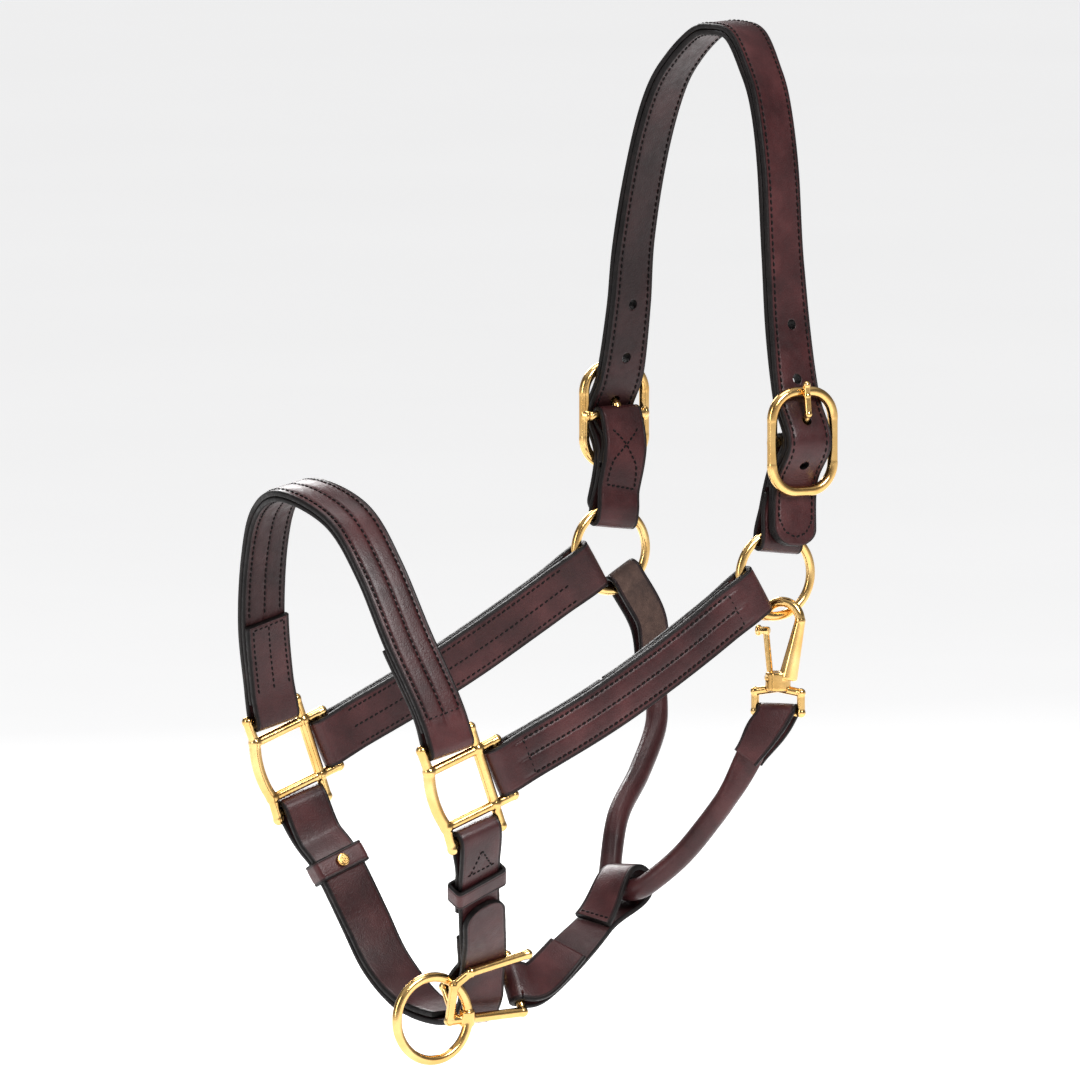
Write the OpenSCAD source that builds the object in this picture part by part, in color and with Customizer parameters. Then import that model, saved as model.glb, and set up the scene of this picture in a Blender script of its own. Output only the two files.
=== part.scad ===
// Leather headcollar: stitched straps, cast brass squares, rings, buckles and a throat snap.
// The nose points along -Y, the horse's near (left) side is +X and up is +Z.
// The origin is where the crown rests: the underside of the crown strap at its highest point.

/* [Leather] */
// Width of every strap
strap_w = 25.4; // [24.6:0.1:25.6]
// Thickness of one layer of strap leather
leather_t = 3; // [2.6:0.1:3]
// Thickness of the raised lining under the noseband
lining_t = 2.6; // [2:0.1:2.6]
// Thickness of the filler between the two layers of a cheek
filler_t = 1.4; // [1:0.1:1.4]
// Thickness of the leather in the buckle chapes and keepers
chape_t = 2.4; // [2:0.1:2.4]
// Diameter of the rolled throatlatch
roll_d = 11; // [9:0.5:11]
// Diameter of the punched buckle holes
hole_d = 5.2; // [4.8:0.1:5.6]

/* [Brass] */
// Outer diameter of the upper rings and the lead ring
ring_od = 46; // [45:0.5:47]
// Wire diameter of the rings
ring_wire = 4.4; // [4:0.1:4.5]
// Diameter of the bars that the straps fold around
bar_d = 4; // [3.6:0.1:4]
// Clear window of a halter square
window = 25.4; // [24:0.2:26]

/* [Layout] */
// Half the distance between the two upper rings
ring_x = 77; // [76:0.5:78]
// Half the distance between the two halter squares
square_x = 82.5; // [81.5:0.5:83.5]
// Rise of the cheek end of each square
square_tilt = 20; // [19:0.5:21]

/* [Hidden] */

gap = 0.3;
layer_gap = 0.2;
ring_r = (ring_od - ring_wire) / 2;
ring_c = [ring_x, -21, -264];
square_c = [square_x, -208, -360];
square_u = [0, cos(square_tilt), sin(square_tilt)];
square_v = [0, -sin(square_tilt), cos(square_tilt)];
frame_axis = window / 2 + bar_d / 2;
lug_reach = frame_axis + 9.3;
bar_gap = bar_d / 2 + gap;
ring_gap = ring_wire / 2 + gap + 0.05;
fold_seat = sqrt(pow(ring_r - ring_wire / 2, 2) - pow(strap_w / 2, 2)) + ring_gap - 0.25;
ring_hold = 9;
turn_back = 56;
// Wire sizes of a halter square, all different so that no two surfaces coincide
lug_d = bar_d + 0.1;
lug_tip_d = bar_d + 0.8;
outer_bar_d = bar_d - 0.2;
corner_d = bar_d + 1.8;
bow_d = bar_d + 1;
buckle_c = [88, -12, -197];
buckle_w = 40;
buckle_h = 54;
buckle_r = 16;
buckle_wire = 4.4;
buckle_bar = [85, -12, -197];
crown_layer = 2.6;
crown_gap = 0.6;
brass = [0.85, 0.65, 0.3];
hide = [0.3, 0.17, 0.17];
hide_dark = [0.2, 0.11, 0.12];
thread = [0.1, 0.08, 0.08];

// ---- vectors ----
function unit(v) = v / norm(v);
function flip(v) = [-v[0], v[1], v[2]];
function flips(list) = [for (v = list) flip(v)];
function side_of(v, across) = unit(v - across * (v * across));
// A point of the smooth curve through p1 and p2 at t from 0 to 1, and its direction.
function curve_at(p0, p1, p2, p3, t) =
    0.5 * (2 * p1 + (p2 - p0) * t + (2 * p0 - 5 * p1 + 4 * p2 - p3) * t * t
    + (3 * p1 - p0 - 3 * p2 + p3) * t * t * t);
function pick(list, i) =
    i < 0 ? 2 * list[0] - list[1]
    : i >= len(list) ? 2 * list[len(list) - 1] - list[len(list) - 2]
    : list[i];
function smooth_at(list, x) = let (i = min(floor(x), len(list) - 2))
    curve_at(pick(list, i - 1), pick(list, i), pick(list, i + 1), pick(list, i + 2), x - i);
function blend_at(list, x) = let (i = min(floor(x), len(list) - 2))
    list[i] + (list[i + 1] - list[i]) * (x - i);

// A station is [centre, width direction, outward direction].
function station(points, widths, x) = let (
        along = unit(smooth_at(points, min(x + 0.02, len(points) - 1))
            - smooth_at(points, max(x - 0.02, 0))),
        across = side_of(blend_at(widths, x), along))
    [smooth_at(points, x), across, cross(across, along)];
function stations(points, widths, steps) = let (last = len(points) - 1)
    [for (i = [0 : steps]) station(points, widths, last * i / steps)];
function shifted(list, out) = [for (s = list) [s[0] + out * s[2], s[1], s[2]]];
function lengths(list, i = 0, sum = 0) = i >= len(list) ? []
    : let (now = i == 0 ? 0 : sum + norm(list[i][0] - list[i - 1][0]))
    concat([now], lengths(list, i + 1, now));

// A strap folded round a bar at each end. The stations run through the middle of the fold,
// gap_a and gap_b are half the clear height at the bars, mid_gap half of it between them, and
// hold_b is how far the second bar's clearance reaches.
function fold_gap(s, total, gap_a, gap_b, mid_gap, ramp, hold_b) = max(
    mid_gap, gap_a - (gap_a - mid_gap) * max(0, s - 2) / ramp,
    gap_b - (gap_b - mid_gap) * max(0, total - s - hold_b) / ramp);
function turn(s, along, r, k) = [for (i = [0 : k]) let (a = 180 * i / k)
    [s[0] - r * cos(a) * s[2] + r * sin(a) * along, s[1], -cos(a) * s[2] + sin(a) * along]];
function folded(spine, gap_a, gap_b, mid_gap, ramp, t, back_a, back_b, hold_b = 2) = let (
        s = lengths(spine), n = len(spine) - 1, total = s[n],
        out = [for (i = [0 : n]) fold_gap(s[i], total, gap_a, gap_b, mid_gap, ramp, hold_b) + t / 2],
        start_dir = unit(spine[0][0] - spine[1][0]),
        end_dir = unit(spine[n][0] - spine[n - 1][0]))
    concat(
        [for (i = [n : -1 : 1]) if (s[i] <= back_a)
            [spine[i][0] - out[i] * spine[i][2], spine[i][1], -spine[i][2]]],
        turn(spine[0], start_dir, out[0], 8),
        [for (i = [1 : n - 1]) [spine[i][0] + out[i] * spine[i][2], spine[i][1], spine[i][2]]],
        [for (q = turn([spine[n][0], spine[n][1], -spine[n][2]], end_dir, out[n], 8)) q],
        [for (i = [n - 1 : -1 : 0]) if (total - s[i] <= back_b)
            [spine[i][0] - out[i] * spine[i][2], spine[i][1], -spine[i][2]]]);

// Narrows the stations to a rounded tip of the given length at the last end, or at the first.
function rounded(list, length, first = false) = let (s = lengths(list), total = s[len(s) - 1])
    [for (i = [0 : len(list) - 1]) let (d = max(0, length - (first ? s[i] : total - s[i])) / (length + 0.3))
        [list[i][0], list[i][1] * sqrt(1 - d * d), list[i][2]]];

// A flat strap through the stations, with slightly broken edges.
module strap(list, w, t) {
    c = 0.6;
    profile = [[w / 2 - c, t / 2], [w / 2, t / 2 - c], [w / 2, c - t / 2], [w / 2 - c, -t / 2],
        [c - w / 2, -t / 2], [-w / 2, c - t / 2], [-w / 2, t / 2 - c], [c - w / 2, t / 2]];
    sweep([for (s = list) [for (p = profile) s[0] + p[0] * s[1] + p[1] * s[2]]]);
}
// A closed solid through rings of points.
module sweep(rings) {
    k = len(rings[0]);
    n = len(rings);
    polyhedron([for (r = rings) each r], concat(
        [[for (j = [0 : k - 1]) j]],
        [for (i = [0 : n - 2]) for (j = [0 : k - 1]) let (a = i * k, b = a + k, m = (j + 1) % k)
            each [[a + j, b + j, b + m], [a + j, b + m, a + m]]],
        [[for (j = [k - 1 : -1 : 0]) (n - 1) * k + j]]), convexity = 8);
}
module taper(a, b, d_a, d_b) {
    v = b - a;
    translate(a) rotate([0, acos(v[2] / norm(v)), atan2(v[1], v[0])])
        cylinder(d1 = d_a, d2 = d_b, h = norm(v), $fn = 32);
}
module rod(a, b, d) {
    taper(a, b, d, d);
}
module knob(p, d) {
    translate(p) sphere(d = d, $fn = 32);
}
module torus(c, r, wire) {
    translate(c) rotate([0, 90, 0]) rotate_extrude($fn = 64) translate([r, 0]) circle(d = wire, $fn = 32);
}
// Places children on the near side, or on the far side as a mirror image.
module on_side(far) {
    if (far) mirror([1, 0, 0]) children();
    else children();
}

// ---- crown ----
crown_leg = [[86.5, -17, -249], [82.3, -13.4, -218], [93.2, -12.3, -197], [82.2, -12, -175.5],
    [74.4, -12, -142], [69.6, -12, -108], [60.2, -9, -62], [48.6, -6.3, -31], [35, -4, -13.5], [17.5, -1, 0]];
crown_points = concat(flips(crown_leg), [[0, 0, 2.9]], [for (i = [9 : -1 : 0]) crown_leg[i]]);
crown_turns = [90, 90, 90, 91, 98, 104, 106, 107, 109, 110];
crown_angles = concat(crown_turns, [110], [for (i = [9 : -1 : 0]) crown_turns[i]]);
crown_widths = [for (a = crown_angles) [cos(a), sin(a), 0]];
crown_stops = concat([0, 0.12, 0.3, 0.55, 0.8], [for (i = [4 : 76]) i / 4], [19.2, 19.45, 19.7, 19.88, 20]);
crown_line = rounded(rounded([for (x = crown_stops) station(crown_points, crown_widths, x)], 9), 9, true);
// Index along crown_points and tilt of each punched hole on one leg
crown_holes = [1.5, 2.45, 3.28, 4.06];
module crown_layer(out) {
    difference() {
        strap(shifted(crown_line, out), strap_w, crown_layer);
        for (h = crown_holes) for (x = [h, 20 - h]) {
            s = station(crown_points, crown_widths, x);
            rod(s[0] - 9 * s[2], s[0] + 9 * s[2], hole_d);
        }
    }
}
module crown_outer() {
    color(hide) crown_layer((crown_layer + crown_gap) / 2 * crown_out);
}
module crown_lining() {
    color(hide_dark) crown_layer(-(crown_layer + crown_gap) / 2 * crown_out);
}
// Sign that makes the station's outward direction point away from the head
crown_out = station(crown_points, crown_widths, 10)[2][2] > 0 ? 1 : -1;

// ---- chapes, buckles and tongues ----
chape_dir = unit([0, 3, 28]);
chape_points = [buckle_bar, [79.2, -12, -208], [76.7, -14.2, -219], [76.6, -17.7, -235],
    ring_c + fold_seat * chape_dir];
chape_spine = stations(chape_points, [for (i = [0 : 4]) [0, 1, 0]], 16);
module chape(far) {
    on_side(far) color(hide) difference() {
        strap(folded(chape_spine, bar_gap, ring_gap, 0.2, 8, chape_t, 28, 24, ring_hold), strap_w - 1, chape_t);
        translate(buckle_bar + [-8, -3.5, -7]) cube([18, 7, 20]);
    }
}
module buckle_frame(far) {
    on_side(far) color(brass) {
        translate(buckle_c) for (z = [-1, 1]) for (y = [-1, 1])
            translate([0, y * (buckle_w / 2 - buckle_r), z * (buckle_h / 2 - buckle_r)]) rotate([0, 90, 0])
            rotate([0, 0, z > 0 ? (y > 0 ? 90 : 180) : (y > 0 ? 0 : 270)])
            rotate_extrude(angle = 90, $fn = 64)
            translate([buckle_r - buckle_wire / 2, 0]) circle(d = buckle_wire + 0.2, $fn = 32);
        for (z = [-1, 1]) rod(buckle_c + [0, buckle_r - 1 - buckle_w / 2, z * (buckle_h - buckle_wire) / 2],
            buckle_c + [0, buckle_w / 2 - buckle_r + 1, z * (buckle_h - buckle_wire) / 2], buckle_wire);
        for (y = [-1, 1]) {
            rod(buckle_c + [0, y * (buckle_w - buckle_wire) / 2, buckle_r - 1 - buckle_h / 2],
                buckle_c + [0, y * (buckle_w - buckle_wire) / 2, buckle_h / 2 - buckle_r + 1], buckle_wire);
            rod(buckle_bar + [0, y * (buckle_w / 2 - 4.2), 0],
                buckle_c + [0, y * (buckle_w - buckle_wire) / 2, 0], buckle_wire + 0.4);
        }
        rod(buckle_bar - [0, buckle_w / 2 - 4.2, 0], buckle_bar + [0, buckle_w / 2 - 4.2, 0], bar_d);
    }
}
tongue_d = 3.2;
tongue_points = [[86, -12, -191.5], [90.3, -12, -187.3], [93.4, -12, -183], [92.2, -12, -174],
    [91.9, -12, -168.5]];
module buckle_tongue(far) {
    on_side(far) color(brass) {
        difference() {
            union() {
                translate(buckle_bar + [0, -2.9, 0]) rotate([-90, 0, 0]) cylinder(d = 8.4, h = 5.8, $fn = 32);
                rod(buckle_bar + [0, 0, 3], tongue_points[0], 4.2);
            }
            translate(buckle_bar + [0, -4, 0]) rotate([-90, 0, 0])
                cylinder(d = bar_d + 0.16, h = 8, $fn = 32);
        }
        for (i = [0 : 3]) rod(tongue_points[i], tongue_points[i + 1], tongue_d - 0.1 * i);
        for (i = [0 : 4]) knob(tongue_points[i], tongue_d + 0.3);
    }
}

// ---- rings and cheeks ----
module upper_ring(far) {
    on_side(far) color(brass) torus(ring_c, ring_r, ring_wire);
}
cheek_start = square_c + lug_reach * square_u;
cheek_bend = [80.5, -88, -304.5];
cheek_end = ring_c + fold_seat * unit([0, -67, -40.5]);
cheek_points = [cheek_start, [82.5, -137, -330], cheek_bend, cheek_end];
cheek_spine = stations(cheek_points, [for (i = [0 : 3]) [0, 0.47, -0.88]], 36);
// The two turned-back ends of a cheek meet at this length from the square.
cheek_len = lengths(cheek_spine)[36];
cheek_seam = 0.43 * cheek_len;
module cheek_outer(far) {
    on_side(far) color(hide)
        strap(folded(cheek_spine, bar_gap + 0.3, ring_gap, filler_t / 2 + layer_gap, 20, leather_t,
            cheek_seam - 1, cheek_len - cheek_seam - 1, ring_hold), strap_w, leather_t);
}
// Fillers and linings lie between the layers, clear of both bars.
function between(spine, clear) = let (s = lengths(spine), total = s[len(s) - 1])
    [for (i = [0 : len(s) - 1]) if (s[i] > clear && s[i] < total - clear) spine[i]];
module cheek_lining(far) {
    on_side(far) color(hide_dark) strap(between(cheek_spine, 8), strap_w, filler_t);
}

// ---- noseband ----
nose_leg = [square_c + lug_reach * square_v, [79.5, -221, -319], [68, -231, -287],
    [53, -238.5, -253], [33, -244.5, -228]];
nose_points = concat(nose_leg, [[0, -251, -218]], flips([for (i = [4 : -1 : 0]) nose_leg[i]]));
nose_lean = [20, 20, 18, 16, 14, 12, 14, 16, 18, 20, 20];
nose_widths = [for (a = nose_lean) [0, cos(a), sin(a)]];
nose_spine = stations(nose_points, nose_widths, 56);
module noseband_outer() {
    color(hide) strap(folded(nose_spine, bar_gap + 0.4, bar_gap + 0.4, lining_t / 2 + layer_gap, 20, leather_t,
        turn_back, turn_back), strap_w, leather_t);
}
module noseband_lining() {
    color(hide_dark) strap(between(nose_spine, 8), strap_w, lining_t);
}

// ---- halter squares ----
// The casting: a window with a bowed front bar, and lugs carrying three outer bars.
module square_bar(u0, v0, u1, v1, d) {
    rod(square_c + u0 * square_u + v0 * square_v, square_c + u1 * square_u + v1 * square_v, d);
}
module square_knob(u, v, d) {
    knob(square_c + u * square_u + v * square_v, d);
}
module halter_square(far) {
    f = frame_axis + 0.2;
    tip = lug_reach + 2.6;
    bow_r = 46;
    bow_a = asin(f / bow_r);
    on_side(far) color(brass) {
        for (v = [-1, 1]) {
            square_bar(-f, v * f, f, v * f, bar_d);
            square_bar(-f, v * f, -f - 0.4, v * tip, lug_d);
            square_bar(f, v * f, f, v * tip, lug_d);
            square_bar(f, v * f, tip, v * f, lug_d);
            square_bar(-f, v * lug_reach, f, v * lug_reach, outer_bar_d);
            square_knob(-f, v * f, corner_d);
            square_knob(f, v * f, corner_d);
            square_knob(-f - 0.4, v * tip, lug_tip_d);
            square_knob(f, v * tip, lug_tip_d);
            square_knob(tip, v * f, lug_tip_d);
        }
        square_bar(f, -f, f, f, bar_d + 0.5);
        square_bar(lug_reach, -f, lug_reach, f, outer_bar_d);
        translate(square_c + (bow_r * cos(bow_a) - f) * square_u)
            rotate([square_tilt, 0, 0]) rotate([0, 90, 0]) rotate([0, 0, 270 - bow_a])
            rotate_extrude(angle = 2 * bow_a, $fn = 128)
            translate([bow_r, 0]) circle(d = bow_d, $fn = 32);
    }
}

// ---- chin strap, stay and keepers ----
chin_start = square_c - lug_reach * square_v;
far_chin_points = [flip(chin_start), [-76, -194.8, -398], [-67, -189, -411], [-57, -179, -439],
    [-48, -173, -459], [-36, -167, -474], [-22, -164, -481.5], [0, -163, -484], [17, -163, -482],
    [26, -163.5, -473], [30.8, -165.6, -462.3], [35.6, -167.7, -454.3], [52.4, -177.4, -437.6], [64, -185, -420]];
far_chin_lean = [20, 20, 21, 20, 14, 6, 0, 0, 0, 0, 4, 8, 20, 21];
far_chin_widths = [for (a = far_chin_lean) [0, cos(a), sin(a)]];
far_chin_spine = stations(far_chin_points, far_chin_widths, 52);
chin_out = 1.7;
// Half the clear height of the loose loops under the squares
loop_gap = 2.9;
// One layer: turned back from the far fold to the keeper, and on round to the near tip.
far_chin_line = let (s = lengths(far_chin_spine), n = len(s) - 1,
        start_dir = unit(far_chin_spine[0][0] - far_chin_spine[1][0]),
        out = [for (d = s) max(chin_out, loop_gap + leather_t / 2 - d * 0.14)])
    concat(
        [for (i = [n : -1 : 1]) if (s[i] <= 150)
            [far_chin_spine[i][0] - out[i] * far_chin_spine[i][2], far_chin_spine[i][1],
            -far_chin_spine[i][2]]],
        turn(far_chin_spine[0], start_dir, out[0], 8),
        [for (i = [1 : n]) [far_chin_spine[i][0] + out[i] * far_chin_spine[i][2],
            far_chin_spine[i][1], far_chin_spine[i][2]]]);
module far_chin_strap() {
    color(hide) strap(rounded(far_chin_line, 9), strap_w, leather_t);
}
// A leather loop round a strap at a station, clear of it all round.
module keeper(s, w, t, wall, length) {
    along = cross(s[1], s[2]);
    multmatrix([for (i = [0 : 2]) [s[1][i], s[2][i], along[i], s[0][i]]]) difference() {
        translate([-w / 2 - wall, -t / 2 - wall, -length / 2]) cube([w + 2 * wall, t + 2 * wall, length]);
        translate([-w / 2, -t / 2, -length]) cube([w, t, 2 * length]);
    }
}
keeper_l = 11;
far_keeper_at = station(far_chin_points, far_chin_widths, 2.05);
module far_chin_keeper() {
    color(hide) keeper(far_keeper_at, strap_w + 0.6, 8.2, 2, keeper_l);
}
module far_keeper_stud() {
    s = far_keeper_at;
    color(brass) rod(s[0] - 6.35 * s[2], s[0] - 8.35 * s[2], 6);
}

inner_bar = [22, -165.5, -466];
near_stay_points = [chin_start, [76, -194.8, -398], [66, -189, -411], [50, -178, -436], [33, -166, -452],
    inner_bar];
near_stay_lean = [20, 20, 21, 20, 8, 0];
near_stay_widths = [for (a = near_stay_lean) [0, -cos(a), -sin(a)]];
near_stay_spine = stations(near_stay_points, near_stay_widths, 24);
near_stay_w = strap_w - 0.6;
module near_chin_stay() {
    color(hide_dark) strap(folded(near_stay_spine, loop_gap, bar_gap, 0.2, 22, chape_t, 48, 48),
        near_stay_w, chape_t);
}
near_keeper_at = station(near_stay_points, near_stay_widths, 1.95);
module near_chin_keeper() {
    color(hide) keeper(near_keeper_at, strap_w + 1.2, 7, 2, keeper_l);
}

// ---- chin fitting: a frame for the chin strap with the lead ring cast on ----
fit_d = 4;
fit_low_front = [32, -184, -482];
fit_low_rear = [32, -141, -480];
fit_top_front = [42.5, -178, -457];
fit_top_rear = [42.5, -145, -450];
fit_corner = [38, -185, -464];
fit_rear_top = [16.5, -141, -453.3];
fit_inner = [inner_bar[0], -150, inner_bar[2]];
lead_ring_c = [34, -195, -480];
module chin_fitting() {
    color(brass) {
        rod(fit_low_front, fit_low_rear, fit_d + 0.4);
        rod(fit_low_front, fit_corner, fit_d);
        rod(fit_corner, fit_top_front, fit_d - 0.2);
        rod(fit_top_front, fit_top_rear, fit_d + 0.2);
        rod(fit_rear_top, fit_low_rear, fit_d - 0.1);
        for (p = [fit_low_front, fit_low_rear, fit_top_front, fit_top_rear, fit_corner, fit_rear_top])
            knob(p, fit_d + 1);
        rod([inner_bar[0], -181, inner_bar[2]], [32, -181, -481], fit_d - 0.6);
        rod([inner_bar[0], -181, inner_bar[2]], fit_inner, fit_d - 0.3);
        rod(fit_inner, fit_rear_top - [0, 9, 0], fit_d - 0.5);
        rod(fit_rear_top - [0, 9, 0], fit_rear_top, fit_d - 0.7);
        for (p = [[inner_bar[0], -181, inner_bar[2]], fit_inner, fit_rear_top - [0, 9, 0]])
            knob(p, fit_d + 0.6);
        torus(lead_ring_c, ring_r, ring_wire);
        rod([32, -173.8, -484.5], [33.5, -174.6, -477], 7.4);
    }
}

// ---- connector strap ----
connector_w = 21;
roll_low = [0, -63, -426];
connector_points = [[24.2, -141, -466.6], [24.2, -128, -466.6], [9, -92, -447], roll_low + [0, 2.2, 2]];
connector_widths = [[-0.5, 0, 0.87], [-0.62, -0.1, 0.76], [-0.85, -0.1, 0.5], [-1, 0.2, 0.25]];
connector_spine = stations(connector_points, connector_widths, 28);
module connector_strap() {
    color(hide) strap(folded(connector_spine, bar_gap, roll_d / 2 + 2.2, 0.2, 26, leather_t, 44, 30),
        connector_w, leather_t);
}

// ---- throatlatch ----
throat_points = [[-70.4, -2.2, -316], [-66, -2, -331], [-57, -6.5, -351], [-44, -24.5, -373],
    [-30, -46, -393], [-17.8, -58.4, -417.7], [-10.4, -63.3, -425.3], roll_low, [10.8, -62.4, -425.4],
    [20.2, -59.1, -421.1], [34, -48.5, -406.5],
    [49, -40, -387], [59, -34, -371], [68, -28.5, -352]];
throat_widths = [[0.2, 0.95, 0], [0.2, 0.95, 0], [0.5, 0.8, 0], [0.7, 0.6, 0], [0.7, 0.6, 0], [0.4, 0.8, 0],
    [0.2, 0.9, 0.2], [0, 0.9, 0.3], [-0.2, 0.9, 0.3], [-0.3, 0.9, 0.3], [-0.3, 0.9, 0.3], [0, 0.9, 0.3], [0.5, 0.7, 0], [0.8, 0.6, 0]];
throat_line = stations(throat_points, throat_widths, 55);
function ends_first(x, mid, end) = end + (mid - end) * min(1, x * 8);
module roll(from, to, a, b, flat_a, flat_b) {
    n = len(throat_line) - 1;
    sweep([for (i = [from : n - from]) let (s = throat_line[i], x = min(i, n - i) / n,
            ra = ends_first(x, a, flat_a), rb = ends_first(x, b, flat_b))
        [for (j = [0 : 11]) s[0] + ra * cos(-30 * j) * s[1] + rb * sin(-30 * j) * s[2]]]);
}
module throatlatch_roll() {
    color(hide) difference() {
        roll(0, 0, roll_d / 2, roll_d / 2, 7, 2.4);
        roll(1, 0, roll_d / 2 - 2.4, roll_d / 2 - 2.4, 4, 1);
    }
}
module throatlatch_core() {
    color(thread) roll(6, 0, roll_d / 2 - 2.7, roll_d / 2 - 2.7, 3.6, 0.8);
}
// A flat leather end: two legs beside the roll's flat end and a fold at the far end.
function hairpin(spine, gap_a, gap_b, t, narrow) = let (
        s = lengths(spine), n = len(spine) - 1,
        f = [for (d = s) narrow + (1 - narrow) * min(1, d / (s[n] * 0.7))],
        out = [for (d = s) gap_a + (gap_b - gap_a) * max(0, d / s[n] * 2 - 1) + t / 2],
        along = cross(spine[n][2], spine[n][1]))
    concat([for (i = [0 : n - 1]) [spine[i][0] + out[i] * spine[i][2], spine[i][1] * f[i], spine[i][2]]],
        turn([spine[n][0], spine[n][1], -spine[n][2]], along, out[n], 8),
        [for (i = [n - 1 : -1 : 0]) [spine[i][0] - out[i] * spine[i][2], spine[i][1] * f[i], -spine[i][2]]]);
far_end_dir = unit([0, 0.5, -0.87]);
far_end_points = [[-67.3, -2.5, -325], [-75.6, 0.4, -301], flip(ring_c) + fold_seat * far_end_dir];
far_end_spine = stations(far_end_points, [[0.2, 0.95, 0.1], [0.1, 0.9, 0.3], [0, 0.87, 0.5]], 12);
module throatlatch_far_end() {
    color(hide) strap(hairpin(far_end_spine, 3.9, ring_gap + 0.2, chape_t, 0.8), 18, chape_t);
}

// ---- throat snap ----
snap_c = [75.5, -18.3, -320];
snap_h = [0.8, 0.6, 0];
function snap_at(h, z) = snap_c + h * snap_h + [0, 0, z];
eye_w = 12.2;
eye_z = -13;
near_end_points = [[66, -29.8, -356], [71, -25, -346], snap_at(0, eye_z)];
// Its width turns to lie along the snap's eye bar at the upper end.
near_end_spine = let (list = stations(near_end_points, [for (i = [0 : 2]) snap_h], 10))
    [for (i = [0 : 10]) let (across = unit(list[i][1] * (10 - i) + snap_h * i))
        [list[i][0], across, unit(cross(across, cross(list[i][2], list[i][1])))]];
module throatlatch_near_end() {
    color(hide) strap(hairpin(near_end_spine, 3, 2.1, chape_t, 0.7), 20.4, chape_t);
}
hook_c = [2.4, 33];
hook_r = 9.3;
hook_d = 4.4;
module snap_body() {
    color(brass) {
        translate(snap_c) rotate([0, 0, atan2(snap_h[1], snap_h[0])])
            rotate([90, 0, 0]) translate([hook_c[0], hook_c[1], 0])
            rotate_extrude(angle = 180, $fn = 96)
            translate([hook_r, 0]) circle(d = hook_d, $fn = 32);
        taper(snap_at(hook_c[0] + hook_r, hook_c[1]), snap_at(5.2, 4), hook_d + 0.3, 9);
        knob(snap_at(hook_c[0] + hook_r, hook_c[1]), hook_d + 0.5);
        difference() {
            rod(snap_at(0, -2), snap_at(0, 7), 12);
            translate(snap_at(-8, 8.6)) rotate([0, 0, atan2(snap_h[1], snap_h[0])])
                cube([16, 3.6, 15.2], center = true);
            rod(snap_at(-4, 4) - 9 * snap_n, snap_at(-4, 4) + 9 * snap_n, gate_pin_d + 0.02);
        }
        for (h = [-1, 1]) {
            rod(snap_at(0, -1), snap_at(h * eye_w, -3), 3.6);
            rod(snap_at(h * eye_w, -3), snap_at(h * eye_w, eye_z), 3.4);
            knob(snap_at(h * eye_w, -3), 4.2);
            knob(snap_at(h * eye_w, eye_z), 4.2);
        }
        rod(snap_at(-eye_w, eye_z), snap_at(eye_w, eye_z), 3.2);
    }
}
snap_n = [0.6, -0.8, 0];
gate_pin_d = 1.8;
module snap_gate() {
    color(brass) difference() {
        union() {
            rod(snap_at(-4, 4) - 1.5 * snap_n, snap_at(-4, 4) + 1.5 * snap_n, 5);
            rod(snap_at(-4, 4), snap_at(-6.6, 29), 2.6);
            rod(snap_at(-4.8, 27.6), snap_at(-9.6, 27.6), 3.4);
            rod(snap_at(-9.6, 27.6), snap_at(-11.2, 27.6), 5);
        }
        rod(snap_at(-4, 4) - 3 * snap_n, snap_at(-4, 4) + 3 * snap_n, gate_pin_d + 0.14);
    }
}
module snap_gate_pin() {
    color(brass) rod(snap_at(-4, 4) - 5 * snap_n, snap_at(-4, 4) + 5 * snap_n, gate_pin_d);
}

crown_outer();
crown_lining();
chape(false);  // near_chape
chape(true);  // far_chape
buckle_frame(false);  // near_buckle_frame
buckle_frame(true);  // far_buckle_frame
buckle_tongue(false);  // near_buckle_tongue
buckle_tongue(true);  // far_buckle_tongue
upper_ring(false);  // near_upper_ring
upper_ring(true);  // far_upper_ring
cheek_outer(false);  // near_cheek_outer
cheek_lining(false);  // near_cheek_lining
cheek_outer(true);  // far_cheek_outer
cheek_lining(true);  // far_cheek_lining
noseband_outer();
noseband_lining();
halter_square(false);  // near_halter_square
halter_square(true);  // far_halter_square
far_chin_strap();
far_chin_keeper();
far_keeper_stud();
near_chin_stay();
near_chin_keeper();
chin_fitting();
connector_strap();
throatlatch_roll();
throatlatch_core();
throatlatch_far_end();
throatlatch_near_end();
snap_body();
snap_gate();
snap_gate_pin();
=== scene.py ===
"""Leather headcollar: stitched havana leather straps and polished cast brass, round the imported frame."""
import math

import bpy
import numpy as np
from mathutils import Matrix, Vector


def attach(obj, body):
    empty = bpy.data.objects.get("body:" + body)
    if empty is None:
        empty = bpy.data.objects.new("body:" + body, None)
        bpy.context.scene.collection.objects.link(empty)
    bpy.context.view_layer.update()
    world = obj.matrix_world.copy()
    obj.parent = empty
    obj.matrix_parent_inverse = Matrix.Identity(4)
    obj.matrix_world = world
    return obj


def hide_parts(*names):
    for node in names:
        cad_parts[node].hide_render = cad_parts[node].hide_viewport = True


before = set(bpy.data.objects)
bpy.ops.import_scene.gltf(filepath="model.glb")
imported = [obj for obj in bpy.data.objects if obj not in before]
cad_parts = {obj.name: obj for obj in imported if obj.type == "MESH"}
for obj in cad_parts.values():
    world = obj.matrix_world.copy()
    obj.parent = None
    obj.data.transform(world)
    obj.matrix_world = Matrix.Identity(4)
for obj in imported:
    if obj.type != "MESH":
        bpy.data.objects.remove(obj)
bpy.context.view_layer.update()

MM = 0.001

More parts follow.
